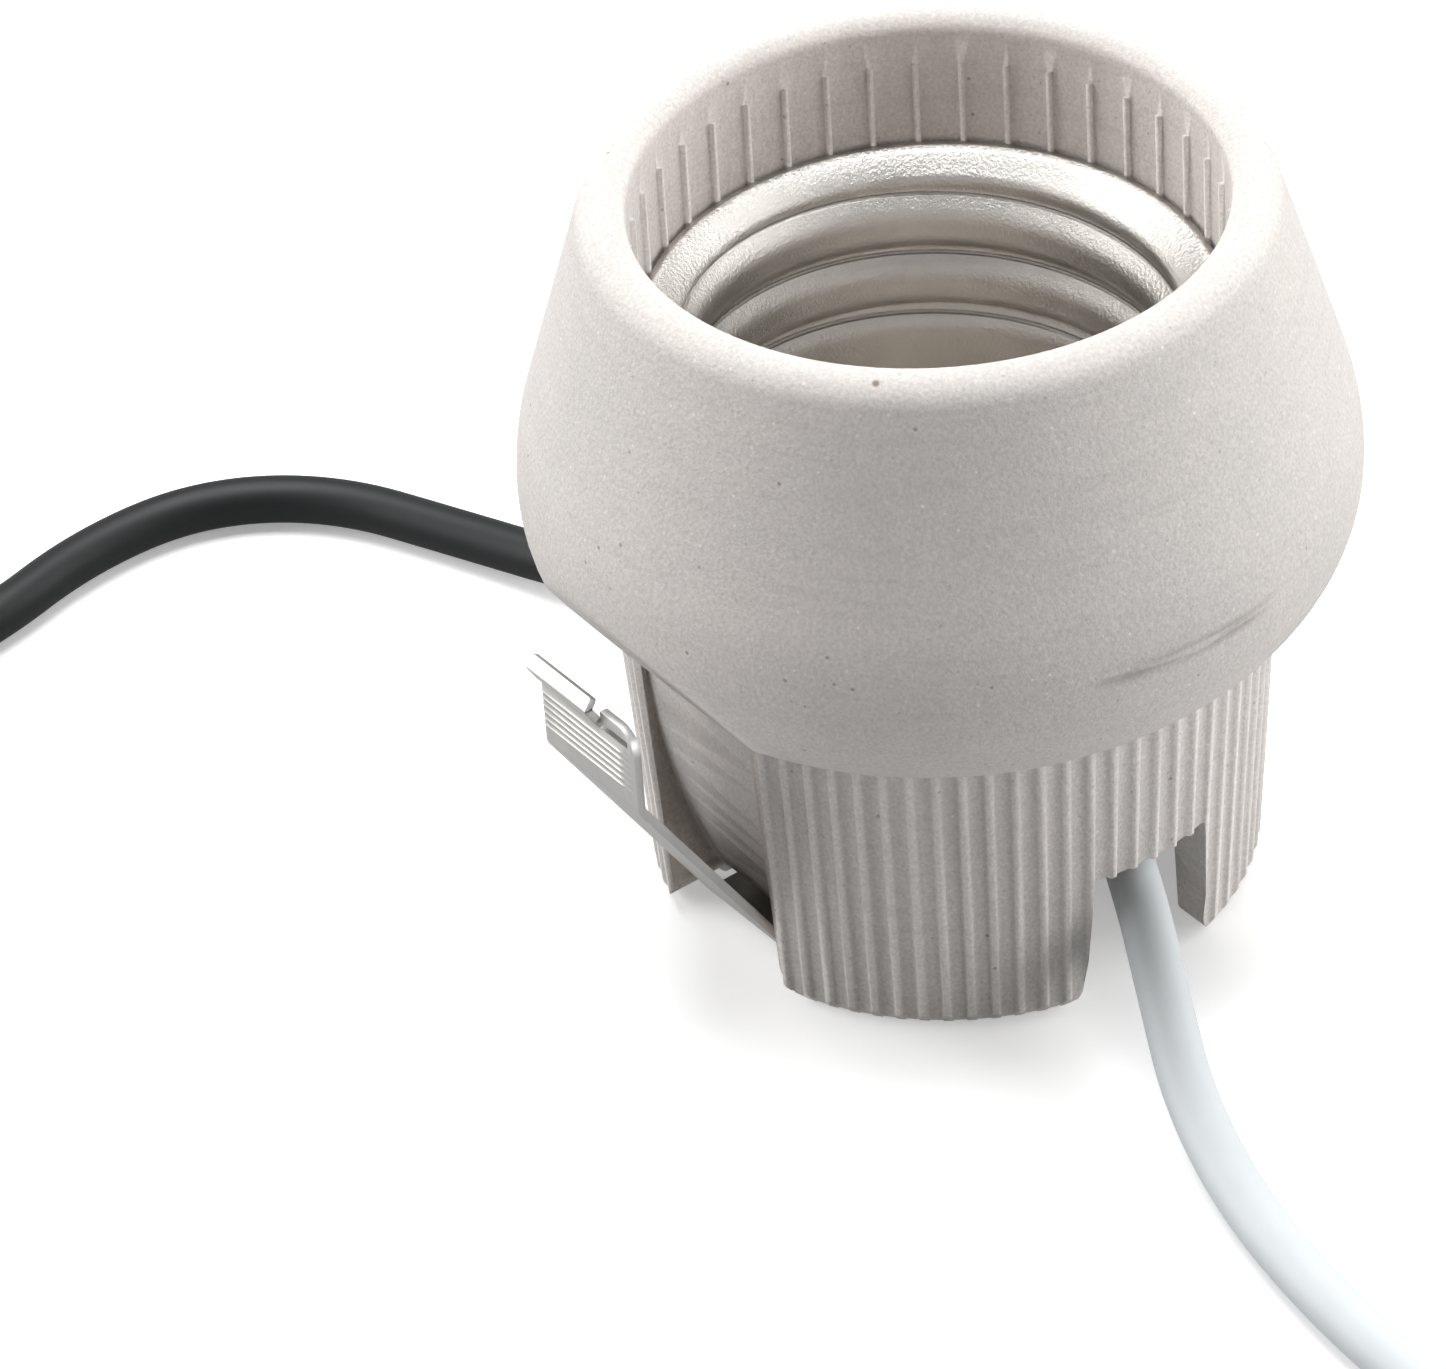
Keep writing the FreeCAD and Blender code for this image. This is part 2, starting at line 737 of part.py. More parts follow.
def lead_tube(name, points):
    """Straight runs joined by tangent arcs as large as the runs allow, swept with a circle."""
    edges = []
    radii = []
    last = points[0]
    for before, corner, after in zip(points, points[1:], points[2:]):
        incoming = corner - before
        outgoing = after - corner
        shorter = min(incoming.Length, outgoing.Length)
        half_turn = incoming.getAngle(outgoing) / 2
        setback = lead_bend_share * shorter
        radius = setback / math.tan(half_turn)
        incoming.normalize()
        outgoing.normalize()
        to_centre = (outgoing - incoming).normalize()
        centre = corner + to_centre * (radius / math.cos(half_turn))
        start = corner - incoming * setback
        end = corner + outgoing * setback
        edges.append(line(last, start))
        edges.append(arc(start, centre - to_centre * radius, end))
        radii.append(round(radius, 1))
        last = end
    edges.append(line(last, points[-1]))
    path = Part.Wire(edges)
    section = Part.Wire([Part.makeCircle(lead_radius, points[0], points[1] - points[0])])
    tube = path.makePipeShell([section], True, False)
    expected = math.pi * lead_radius ** 2 * path.Length
    print(name, "radii", radii)
    print(name, "length", round(path.Length, 1), "volume", round(tube.Volume, 1), "expected", round(expected, 1))
    return tube


def bare_end(points):
    """Stripped and tinned strands past the end of the insulation."""
    direction = (points[-1] - points[-2]).normalize()
    return Part.makeCylinder(strand_radius, bare_end_length, points[-1], direction)


save("ceramic_body", ceramic_body())
save("screw_shell", screw_shell())
save("shell_rivets", shell_rivets())
save("rivet_washer", rivet_washer())
save("cup_washer", cup_washer())
save("contact_cup", contact_cup())
save("contact_plunger", contact_plunger())
save("contact_spring", contact_spring())

right_clip = spring_clip()
save("clip_right", right_clip)
save("clip_left", turned_copy(right_clip, 180))

rivet_place = Vector(rivet_x, 0, 0)
white_hole = rivet_shank_radius + hole_clearance
black_hole = cup_radius + hole_clearance
save("terminal_white", terminal(
    white_hole, white_ring_radius, white_barrel_start, white_barrel_end, rivet_place, white_barrel_degrees))
save("terminal_black", terminal(
    black_hole, black_ring_radius, black_barrel_start, black_barrel_end, AXIS, black_barrel_degrees))

white_run = from_terminal(rivet_place, white_barrel_degrees, white_barrel_end, white_straight_run, white_route)
black_run = from_terminal(AXIS, black_barrel_degrees, black_barrel_end, black_straight_run, black_route)
white_points = with_loop(white_run, white_loop_centre, white_loop_start, loop_step)
black_points = with_loop(black_run, black_loop_centre, black_loop_start, -loop_step)
save("lead_white", lead_tube("white", white_points))
save("lead_black", lead_tube("black", black_points))
save("strands_white", Part.makeCompound([
    crimped_strands(white_barrel_start, white_barrel_end, rivet_place, white_barrel_degrees),
    bare_end(white_points),
]))
save("strands_black", Part.makeCompound([
    crimped_strands(black_barrel_start, black_barrel_end, AXIS, black_barrel_degrees),
    bare_end(black_points),
]))
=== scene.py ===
# %% [markdown]
# # A ceramic lamp holder with two spring clips
#
# The real object is a screw lamp holder of unglazed, fired ceramic. A rolled
# metal shell sits in its mouth, a folded steel clip stands on each side, and
# two insulated leads come out of notches in the neck. The solids come from the
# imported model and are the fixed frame. This lesson adds the looks: camera,
# leads, ceramic, sheet metal, floor and light. All lengths are in metres.

import bpy
import bmesh
import math
from mathutils import Vector, Matrix


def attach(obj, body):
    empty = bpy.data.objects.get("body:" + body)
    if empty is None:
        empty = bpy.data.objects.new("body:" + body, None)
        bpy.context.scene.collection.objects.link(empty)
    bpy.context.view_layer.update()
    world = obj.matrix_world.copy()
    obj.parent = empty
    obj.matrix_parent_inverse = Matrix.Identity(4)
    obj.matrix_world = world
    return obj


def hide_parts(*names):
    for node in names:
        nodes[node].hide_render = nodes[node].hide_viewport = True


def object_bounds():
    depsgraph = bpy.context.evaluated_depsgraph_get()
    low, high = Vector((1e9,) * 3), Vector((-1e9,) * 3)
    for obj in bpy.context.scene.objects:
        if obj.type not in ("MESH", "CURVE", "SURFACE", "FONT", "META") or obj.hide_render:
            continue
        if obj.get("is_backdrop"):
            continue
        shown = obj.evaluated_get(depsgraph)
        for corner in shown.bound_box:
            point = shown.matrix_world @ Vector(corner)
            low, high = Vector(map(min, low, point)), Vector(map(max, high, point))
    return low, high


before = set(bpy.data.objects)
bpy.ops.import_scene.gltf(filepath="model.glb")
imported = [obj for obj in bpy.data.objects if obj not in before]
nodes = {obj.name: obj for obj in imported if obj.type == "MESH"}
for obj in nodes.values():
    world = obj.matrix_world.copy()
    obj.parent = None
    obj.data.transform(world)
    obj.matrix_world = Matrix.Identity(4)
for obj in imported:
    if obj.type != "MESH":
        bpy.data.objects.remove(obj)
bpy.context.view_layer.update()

# %% [markdown]
# ## The camera
#
# A product photograph like this is taken from above with a long lens, so the
# mouth looks like a wide ellipse and the sides hardly converge. The place, the
# three angles and the lens were worked out from the object's own outlines, so
# they are plain numbers here. There is no depth of field, because the
# photograph is sharp from front to back.

# %% Place the camera
camera_data = bpy.data.cameras.new("camera")
camera_data.sensor_fit = "HORIZONTAL"
camera_data.sensor_width = 36
camera_data.lens = 171.9
camera_data.clip_start = 0.01
camera_data.clip_end = 5
camera = bpy.data.objects.new("camera", camera_data)
bpy.context.scene.collection.objects.link(camera)
camera.location = (-0.17099, -0.22445, 0.23185)
camera.rotation_euler = [math.radians(angle) for angle in (51.818, 3.241, -37.455)]
bpy.context.scene.camera = camera
print("camera", camera_data.lens, "mm, height in mm", round(camera.location.z * 1000))

# %% [markdown]
# ## The two leads
#
# Each lead is about 2.7 mm thick, with a stranded conductor inside. It could
# be a mesh tube, but a NURBS curve with a round bevel stays perfectly smooth
# and is drawn by a few control points, in the way that a wire really bends.
# The points are those of the model's own route. Each lead leaves its terminal
# under the ceramic floor, comes out of its notch and lies down on the floor.
# The length that the photograph doesn't show lies in one open loop.

# %% A lead from its control points
lead_radius = 0.00135


def loop_of_lead(centre_x, centre_y, start_degrees, step_degrees):
    """Nine points round the loop that holds the rest of a lead's length."""
    loop_radius = 0.0153
    points = []
    for index in range(9):
        angle = math.radians(start_degrees + index * step_degrees)
        x = centre_x + loop_radius * math.cos(angle)
        y = centre_y + loop_radius * math.sin(angle)
        points.append((x, y, lead_radius))
    return points


def lead_curve(name, points):
    """A smooth tube that follows its control points."""
    curve = bpy.data.curves.new(name, "CURVE")
    curve.dimensions = "3D"
    curve.bevel_depth = lead_radius
    curve.bevel_resolution = 8
    curve.resolution_u = 12
    curve.use_fill_caps = True
    spline = curve.splines.new("NURBS")
    spline.points.add(len(points) - 1)
    for knot, point in zip(spline.points, points):
        knot.co = (*point, 1)
    spline.order_u = 3
    spline.use_endpoint_u = True
    lead = bpy.data.objects.new(name, curve)
    bpy.context.scene.collection.objects.link(lead)
    return lead


# %% The white lead
white_points = [
    (0.003652, -0.007293, 0.0067),
    (-0.000553, -0.015476, 0.0067),
    (-0.0034, -0.0209, 0.0042),
    (-0.0062, -0.0262, 0.0019),
    (-0.0088, -0.0335, 0.00135),
    (-0.0103, -0.0415, 0.00135),
    (-0.0107, -0.0498, 0.00135),
    (-0.0104, -0.0590, 0.00135),
] + loop_of_lead(0.0050, -0.0640, 195, 30)
white_lead = lead_curve("white_lead_skin", white_points)
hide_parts("lead_white")
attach(white_lead, "holder")
print("white lead", len(white_points), "control points")

# %% The black lead
black_points = [
    (0.0, 0.0090, 0.0067),
    (0.0, 0.0160, 0.0067),
    (-0.0008, 0.0222, 0.0041),
    (-0.0026, 0.0290, 0.0018),
    (-0.0055, 0.0370, 0.00135),
    (-0.0089, 0.0448, 0.00135),
    (-0.0149, 0.0494, 0.00135),
    (-0.0224, 0.0499, 0.00135),
    (-0.0302, 0.0478, 0.00135),
    (-0.0378, 0.0476, 0.00135),
] + loop_of_lead(-0.0420, 0.0660, 255, -30)
black_lead = lead_curve("black_lead_skin", black_points)
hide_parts("lead_black")
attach(black_lead, "holder")
print("black lead", len(black_points), "control points")

# %% [markdown]
# ## Tools for the finishes
#
# Every finish below is made of nodes, with no image. Three effects return in
# several materials, so each is a node group built once: a soft mottle that
# shifts a colour over millimetres, a fine grain that gives a surface its
# tooth, and a mask that finds the edges, where handling rubs a surface
# brighter. Each group puts out only values and normals. The shader stays in
# the material.

# %% Node group helpers
def new_group(name, inputs, outputs):
    """A shader node group with named float inputs and outputs of a given kind."""
    group = bpy.data.node_groups.new(name, "ShaderNodeTree")
    for label, value in inputs:
        socket = group.interface.new_socket(
            name=label, in_out="INPUT", socket_type="NodeSocketFloat")
        socket.default_value = value
    for label, kind in outputs:
        group.interface.new_socket(name=label, in_out="OUTPUT", socket_type=kind)
    start = group.nodes.new("NodeGroupInput")
    end = group.nodes.new("NodeGroupOutput")
    return group, start, end


def math_node(tree, operation, first, second=None, third=None, clamp=False):
    """A Math node fed with sockets or plain numbers."""
    node = tree.nodes.new("ShaderNodeMath")
    node.operation = operation
    node.use_clamp = clamp
    for socket, value in zip(node.inputs, (first, second, third)):
        if value is None:
            continue
        if isinstance(value, (int, float)):
            socket.default_value = value
        else:
            tree.links.new(value, socket)
    return node.outputs[0]


def between(tree, value, low, high):
    """0 below low, 1 above high, smooth in between."""
    node = tree.nodes.new("ShaderNodeMapRange")
    node.interpolation_type = "SMOOTHSTEP"
    node.inputs["From Min"].default_value = low
    node.inputs["From Max"].default_value = high
    tree.links.new(value, node.inputs["Value"])
    return node.outputs["Result"]


# %% The soft mottle
mottle_group, start, end = new_group(
    "soft_mottle", [("Scale", 200.0), ("Contrast", 1.0)], [("Value", "NodeSocketFloat")])
place = mottle_group.nodes.new("ShaderNodeTexCoord")
noise = mottle_group.nodes.new("ShaderNodeTexNoise")
noise.inputs["Detail"].default_value = 4.0
noise.inputs["Roughness"].default_value = 0.55
mottle_group.links.new(place.outputs["Object"], noise.inputs["Vector"])
mottle_group.links.new(start.outputs["Scale"], noise.inputs["Scale"])
centred = math_node(mottle_group, "SUBTRACT", noise.outputs["Fac"], 0.5)
spread = math_node(mottle_group, "MULTIPLY", centred, start.outputs["Contrast"])
mottled = math_node(mottle_group, "ADD", spread, 0.5, clamp=True)
mottle_group.links.new(mottled, end.inputs["Value"])
print("mottle group made")

# %% The fine grain
grain_group, start, end = new_group(
    "fine_grain", [("Scale", 3000.0), ("Coarse", 0.35)],
    [("Height", "NodeSocketFloat"), ("Sparkle", "NodeSocketFloat")])
place = grain_group.nodes.new("ShaderNodeTexCoord")
fine = grain_group.nodes.new("ShaderNodeTexNoise")
fine.inputs["Detail"].default_value = 3.0
fine.inputs["Roughness"].default_value = 0.7
coarse = grain_group.nodes.new("ShaderNodeTexNoise")
coarse.inputs["Detail"].default_value = 2.0
grain_group.links.new(place.outputs["Object"], fine.inputs["Vector"])
grain_group.links.new(place.outputs["Object"], coarse.inputs["Vector"])
grain_group.links.new(start.outputs["Scale"], fine.inputs["Scale"])
coarse_scale = math_node(grain_group, "MULTIPLY", start.outputs["Scale"], 0.3)
grain_group.links.new(coarse_scale, coarse.inputs["Scale"])
coarse_part = math_node(grain_group, "MULTIPLY", coarse.outputs["Fac"], start.outputs["Coarse"])
height = math_node(grain_group, "ADD", fine.outputs["Fac"], coarse_part)
grain_group.links.new(height, end.inputs["Height"])
grain_group.links.new(between(grain_group, fine.outputs["Fac"], 0.62, 0.75), end.inputs["Sparkle"])
print("grain group made")

# %% The edge mask
edge_group, start, end = new_group(
    "edge_mask", [("Sharpness", 12.0)], [("Mask", "NodeSocketFloat")])
geometry = edge_group.nodes.new("ShaderNodeNewGeometry")
above = math_node(edge_group, "SUBTRACT", geometry.outputs["Pointiness"], 0.5)
scaled = math_node(edge_group, "MULTIPLY", above, start.outputs["Sharpness"], clamp=True)
edge_group.links.new(scaled, end.inputs["Mask"])
print("edge group made")


# %% Material helpers
def new_material(name, roughness, metallic=0.0):
    """A material with a Principled shader, ready for its nodes."""
    material = bpy.data.materials.new(name)
    material.use_nodes = True
    shader = material.node_tree.nodes["Principled BSDF"]
    shader.inputs["Roughness"].default_value = roughness
    shader.inputs["Metallic"].default_value = metallic
    return material, material.node_tree, shader


def use_group(tree, group, **values):
    """Place a node group in a material with its own values."""
    node = tree.nodes.new("ShaderNodeGroup")
    node.node_tree = group
    for label, value in values.items():
        node.inputs[label].default_value = value
    return node


def blend_colours(tree, factor, first, second, mode="MIX"):
    """Mix two colours, each a socket or a plain RGB triple."""
    node = tree.nodes.new("ShaderNodeMix")
    node.data_type = "RGBA"
    node.blend_type = mode
    colour_sockets = [s for s in node.inputs if s.type == "RGBA"]
    factor_socket = [s for s in node.inputs if s.type == "VALUE"][0]
    for socket, value in zip([factor_socket] + colour_sockets, (factor, first, second)):
        if isinstance(value, tuple):
            socket.default_value = (*value, 1)
        elif isinstance(value, (int, float)):
            socket.default_value = value
        else:
            tree.links.new(value, socket)
    return [s for s in node.outputs if s.type == "RGBA"][0]


def laid_over(tree, ground, mask, share, colour):
    """Lay a colour over a ground, as strongly as a mask times a share."""
    return blend_colours(tree, math_node(tree, "MULTIPLY", mask, share), ground, colour)


def add_bump(tree, shader, height, distance, strength=1.0, normal=None):
    """Turn a height into a normal for the shader, on top of another normal if given."""
    bump = tree.nodes.new("ShaderNodeBump")
    if normal is not None:
        tree.links.new(normal, bump.inputs["Normal"])
    bump.inputs["Distance"].default_value = distance
    bump.inputs["Strength"].default_value = strength
    tree.links.new(height, bump.inputs["Height"])
    tree.links.new(bump.outputs["Normal"], shader.inputs["Normal"])
    return bump


def dress(node_name, material):
    """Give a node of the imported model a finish."""
    mesh = nodes[node_name].data
    mesh.materials.clear()
    mesh.materials.append(material)


# %% [markdown]
# ## The ceramic body's form
#
# The body is pressed in a tool and fired, so no corner of the real one is
# sharp. Above each clip recess the belly is scooped until it meets the back
# wall, the legs beside a recess are rounded at the foot, and the ribs run out
# in a steep chamfer. The solid has the recesses, notches and ribs. Here its
# loose triangles are joined in a copy, and three kinds of plain cutter are
# taken away from it with a boolean. That keeps the true form everywhere else,
# where modelling it again would only come near to it.

# %% Cutters and the boolean
def mesh_object(name, mesh_in_work, material, smooth=True):
    """Turn a finished bmesh into an object at the origin."""
    mesh = bpy.data.meshes.new(name)
    mesh_in_work.to_mesh(mesh)
    mesh_in_work.free()
    mesh.materials.append(material)
    for polygon in mesh.polygons:
        polygon.use_smooth = smooth
    made = bpy.data.objects.new(name, mesh)
    bpy.context.scene.collection.objects.link(made)
    return made


def joined_copy(node_name):
    """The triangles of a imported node, joined into one closed mesh."""
    work = bmesh.new()
    work.from_mesh(nodes[node_name].data)
    work.transform(nodes[node_name].matrix_world)
    bmesh.ops.remove_doubles(work, verts=work.verts[:], dist=0.000001)
    bmesh.ops.recalc_face_normals(work, faces=work.faces[:])
    return work


def prism(outline, run):
    """A closed prism: a flat outline pushed along a straight run."""
    work = bmesh.new()
    face = work.faces.new([work.verts.new(point) for point in outline])
    pushed = bmesh.ops.extrude_face_region(work, geom=[face])["geom"]
    corners = [item for item in pushed if isinstance(item, bmesh.types.BMVert)]
    bmesh.ops.translate(work, verts=corners, vec=run)
    bmesh.ops.holes_fill(work, edges=work.edges[:])
    bmesh.ops.recalc_face_normals(work, faces=work.faces[:])
    return work


def cut_away(piece, cutters):
    """Take the cutters away from a piece and keep the result as its mesh."""
    tools = []
    for cutter in cutters:
        tool = mesh_object("cutter", cutter, piece.data.materials[0])
        modifier = piece.modifiers.new("cut", "BOOLEAN")
        modifier.operation = "DIFFERENCE"
        modifier.solver = "EXACT"
        modifier.object = tool
        tools.append(tool)
    seen_by = bpy.context.evaluated_depsgraph_get()
    result = bpy.data.meshes.new_from_object(piece.evaluated_get(seen_by))
    piece.modifiers.clear()
    piece.data = result
    for tool in tools:
        bpy.data.objects.remove(tool)


# %% Scoop, round and chamfer the body
recess_half_width = 0.0045
body_radius = 0.0158
foot_round = 0.0020
round_steps = 8
leg_inner = 0.0115
leg_depth = 0.006
below_foot = -0.0005


def scoop(side):
    """Wedge that runs the recess's back wall out to the belly's widest line."""
    outline = [(0.01672, 0.0174), (0.02152, 0.0247), (0.0235, 0.0247), (0.0235, 0.0174)]
    half = 2 * recess_half_width
    points = [(side * x, -half, z) for x, z in outline]
    return prism(points, (0, 2 * half, 0))


def foot_corner(side, hand):
    """What is left outside the rounded foot of one leg beside a recess."""
    edge = hand * recess_half_width
    outline = [(0, below_foot), (0, foot_round)]
    for step in range(1, round_steps + 1):
        turn = math.radians(90 * step / round_steps)
        outline.append((foot_round * (1 - math.cos(turn)), foot_round * (1 - math.sin(turn))))
    outline.append((foot_round, below_foot))
    points = [(side * leg_inner, edge + hand * across, up) for across, up in outline]
    return prism(points, (side * leg_depth, 0, 0))


def foot_ring():
    """A ring outside a cone, so that the ribs run out towards the foot."""
    ring = bmesh.new()
    section = [(0.0152, below_foot), (0.0175, below_foot), (0.0175, 0.0030)]
    corners = [ring.verts.new((radius, 0, height)) for radius, height in section]
    edges = [ring.edges.new((corners[index], corners[(index + 1) % 3])) for index in range(3)]
    bmesh.ops.spin(ring, geom=corners + edges, cent=(0, 0, 0), axis=(0, 0, 1),
                   angle=2 * math.pi, steps=180, use_merge=True)
    bmesh.ops.remove_doubles(ring, verts=ring.verts[:], dist=0.000001)
    bmesh.ops.recalc_face_normals(ring, faces=ring.faces[:])
    return ring


cutters = [scoop(-1), scoop(1), foot_ring()]
for side in (-1, 1):
    for hand in (-1, 1):
        cutters.append(foot_corner(side, hand))
for cutter in cutters:
    open_edges = [edge for edge in cutter.edges if not edge.is_manifold]
    print("cutter", len(cutter.faces), "faces", len(open_edges), "open edges")

# %% [markdown]
# ## The ceramic's finish
#
# Unglazed clay is a warm light grey that drifts between pinkish and cooler
# patches, with a sandy tooth, scattered specks of burnt-out grit and faint level
# streaks from the press. Light is also painted into the colour: a painted
# highlight makes the ribs paler than the ground, the mouth is painted paler to
# stand in for light, a painted reflection of the steel clip lies brown on the
# recess walls, and a band of painted shade runs along the front of the belly.
# A photograph of clay could be wrapped round it, but noise in three dimensions
# has no seams and keeps its scale on the ribs and in the mouth alike. The
# corners are softened by a bevel in the shading, broad where the belly is
# scooped and fine on the ribs.

# %% Where things are on the body
place_names = ("Mouth", "Mouth ribs", "Neck ribs", "Belly", "Recess walls")
place_group, start, end = new_group(
    "body_places", [], [(label, "NodeSocketFloat") for label in place_names])
place = place_group.nodes.new("ShaderNodeTexCoord")
parts = place_group.nodes.new("ShaderNodeSeparateXYZ")
place_group.links.new(place.outputs["Object"], parts.inputs["Vector"])
x, y, z = (parts.outputs[axis] for axis in "XYZ")


def here(operation, *values):
    """A Math node of this group."""
    return math_node(place_group, operation, *values)


def put_out(label, *masks):
    """Give out the product of some masks under a name."""
    product = masks[0]
    for mask in masks[1:]:
        product = here("MULTIPLY", product, mask)
    place_group.links.new(product, end.inputs[label])


radius = here("SQRT", here("ADD", here("POWER", x, 2.0), here("POWER", y, 2.0)))
in_mouth = between(place_group, z, 0.0322, 0.0328)
put_out("Mouth ribs", in_mouth, between(place_group, radius, 0.01495, 0.01484))
put_out("Mouth", in_mouth, between(place_group, radius, 0.01540, 0.01500))
neck_taper = 0.06
proud = here("SUBTRACT", radius, here("MULTIPLY_ADD", z, neck_taper, body_radius))
below_collar = between(place_group, z, 0.0177, 0.0173)
put_out("Neck ribs", between(place_group, proud, 0.00006, 0.00016), below_collar)
put_out("Belly", between(place_group, z, 0.0165, 0.0178), between(place_group, z, 0.0290, 0.0270))
from_side = here("ABSOLUTE", here("SUBTRACT", here("ABSOLUTE", y), recess_half_width))
at_side = between(place_group, from_side, 0.00025, 0.00005)
far_out = between(place_group, here("ABSOLUTE", x), 0.0115, 0.0120)
put_out("Recess walls", at_side, far_out, below_collar)
print("body places", len(place_group.nodes))

# %% The ceramic finish
ceramic, tree, shader = new_material("fired_ceramic", 0.82)
shader.inputs["Specular IOR Level"].default_value = 0.35
places = use_group(tree, place_group)
broad = use_group(tree, mottle_group, Scale=90.0, Contrast=1.6)
cloudy = use_group(tree, mottle_group, Scale=520.0, Contrast=1.4)
sandy = use_group(tree, mottle_group, Scale=5200.0, Contrast=2.2)
grain = use_group(tree, grain_group, Scale=4200.0, Coarse=0.5)
edges = use_group(tree, edge_group, Sharpness=9.0)
base = blend_colours(tree, broad.outputs["Value"], (0.52, 0.50, 0.48), (0.605, 0.56, 0.53))
base = laid_over(tree, base, cloudy.outputs["Value"], 0.3, (0.45, 0.45, 0.44))
base = laid_over(tree, base, edges.outputs["Mask"], 0.3, (0.72, 0.69, 0.66))
# Painted highlight: the crests of the neck ribs and the mouth ribs are made paler, where light
# catches them.
ribs = math_node(tree, "MULTIPLY_ADD", places.outputs["Neck ribs"], 0.26,
                 math_node(tree, "MULTIPLY", places.outputs["Mouth ribs"], 0.6))
# Painted light: the mouth is made paler than the ground, standing in for light that falls into it.
base = laid_over(tree, base, places.outputs["Mouth"], 0.5, (0.78, 0.72, 0.69))
base = blend_colours(tree, ribs, base, (0.86, 0.81, 0.78))
# Painted reflection: the recess side walls are tinted brown, as the steel clip beside them reflects
# onto them.
base = laid_over(tree, base, places.outputs["Recess walls"], 0.6, (0.50, 0.42, 0.36))
sand = math_node(tree, "MULTIPLY_ADD", sandy.outputs["Value"], 0.28, 0.86)
sand_colour = tree.nodes.new("ShaderNodeCombineColor")
for socket in sand_colour.inputs:
    tree.links.new(sand, socket)
base = blend_colours(tree, 1.0, base, sand_colour.outputs["Color"], "MULTIPLY")
print("ceramic ground made")

# %% Specks and streaks
place = tree.nodes.new("ShaderNodeTexCoord")


def speck_mask(scale, share, size):
    """Round specks in a share of the cells of a Voronoi pattern."""
    cells = tree.nodes.new("ShaderNodeTexVoronoi")
    cells.inputs["Scale"].default_value = scale
    tree.links.new(place.outputs["Object"], cells.inputs["Vector"])
    chance = tree.nodes.new("ShaderNodeTexWhiteNoise")
    tree.links.new(cells.outputs["Position"], chance.inputs["Vector"])
    chosen = between(tree, chance.outputs["Value"], 1 - share, 1.02 - share)
    near = between(tree, cells.outputs["Distance"], size, size * 0.5)
    return math_node(tree, "MULTIPLY", chosen, near)


base = laid_over(tree, base, speck_mask(760.0, 0.24, 0.105), 0.6, (0.20, 0.16, 0.14))
base = laid_over(tree, base, speck_mask(1300.0, 0.3, 0.15), 0.4, (0.30, 0.26, 0.23))
base = laid_over(tree, base, speck_mask(1150.0, 0.3, 0.13), 0.5, (0.82, 0.79, 0.76))
level = tree.nodes.new("ShaderNodeMapping")
level.inputs["Scale"].default_value = (1.0, 1.0, 16.0)
tree.links.new(place.outputs["Object"], level.inputs["Vector"])
streak = tree.nodes.new("ShaderNodeTexNoise")
streak.inputs["Scale"].default_value = 130.0
streak.inputs["Detail"].default_value = 4.0
tree.links.new(level.outputs["Vector"], streak.inputs["Vector"])
streaks = math_node(tree, "MULTIPLY", between(tree, streak.outputs["Fac"], 0.50, 0.68), 0.10)
base = blend_colours(tree, streaks, base, (0.36, 0.34, 0.32))


def near_point(point, inner, outer):
    """1 near a point of the body, fading to 0 at the outer distance."""
    away = tree.nodes.new("ShaderNodeVectorMath")
    away.operation = "DISTANCE"
    away.inputs[1].default_value = point
    tree.links.new(place.outputs["Object"], away.inputs[0])
    return between(tree, away.outputs["Value"], outer, inner)


# Painted shade: a dark band just above the belly's widest line at the front, broken up by the
# streak noise.
belly_shade_place = (-0.0015, -0.0212, 0.0252)
fleck_place = (-0.0122, -0.0113, 0.0409)
height_parts = tree.nodes.new("ShaderNodeSeparateXYZ")
tree.links.new(place.outputs["Object"], height_parts.inputs["Vector"])
above_band = math_node(tree, "SUBTRACT", height_parts.outputs["Z"], belly_shade_place[2])
band_distance = math_node(tree, "ABSOLUTE", above_band)
painted_belly_shade = math_node(tree, "MULTIPLY", between(tree, band_distance, 0.0007, 0.0001),
                   near_point(belly_shade_place, 0.003, 0.0065))
painted_belly_shade = math_node(tree, "MULTIPLY", painted_belly_shade, between(tree, streak.outputs["Fac"], 0.40, 0.58))
base = laid_over(tree, base, painted_belly_shade, 0.6, (0.25, 0.22, 0.20))
fleck = near_point(fleck_place, 0.0001, 0.00025)
base = laid_over(tree, base, fleck, 0.8, (0.16, 0.10, 0.07))
tree.links.new(base, shader.inputs["Base Color"])
soft_corner = tree.nodes.new("ShaderNodeBevel")
soft_corner.samples = 6
softness = math_node(tree, "MULTIPLY_ADD", places.outputs["Belly"], 0.0008, 0.00012)
tree.links.new(softness, soft_corner.inputs["Radius"])
add_bump(tree, shader, grain.outputs["Height"], 0.00007, 0.7, soft_corner.outputs["Normal"])
print("ceramic nodes", len(tree.nodes))

# %% The finished body
body = mesh_object("fired_body", joined_copy("ceramic_body"), ceramic)
cut_away(body, cutters)
for polygon in body.data.polygons:
    polygon.use_smooth = True
body.data.set_sharp_from_angle(angle=math.radians(32))
even = body.modifiers.new("even shading", "WEIGHTED_NORMAL")
even.keep_sharp = True
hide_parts("ceramic_body")
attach(body, "holder")
print("body", len(body.data.polygons), "faces")

# %% [markdown]
# ## The screw shell
#
# The shell is a drawn cup of thin bright sheet, about a third of a millimetre
# thick. Its thread is rolled into the wall as a soft wave that climbs round
# the cup, and its mouth flares out to a thin bright lip on the ceramic seat. A
# revolved outline alone would give closed rings. So the outline is spun into a
# fine wall, and each point of the wall is then moved outwards by a wave whose
# height follows the angle, which is what rolling does to the real sheet. The
# roller's edge leaves one fine scored line in the groove: it is dented in by a
# bump, and its colour is darkened as painted shade in the crease.

# %% Spin the shell's wall
shell_floor = 0.01385
minor_radius = 0.0123
thread_depth = 0.0009
thread_pitch = 0.00363
groove_sharpness = 1.4
crest_height = 0.0302
crest_angle = math.radians(52.7)
wall_foot = 0.0176
wall_top = 0.0326
wall_rows = 84
shell_steps = 224

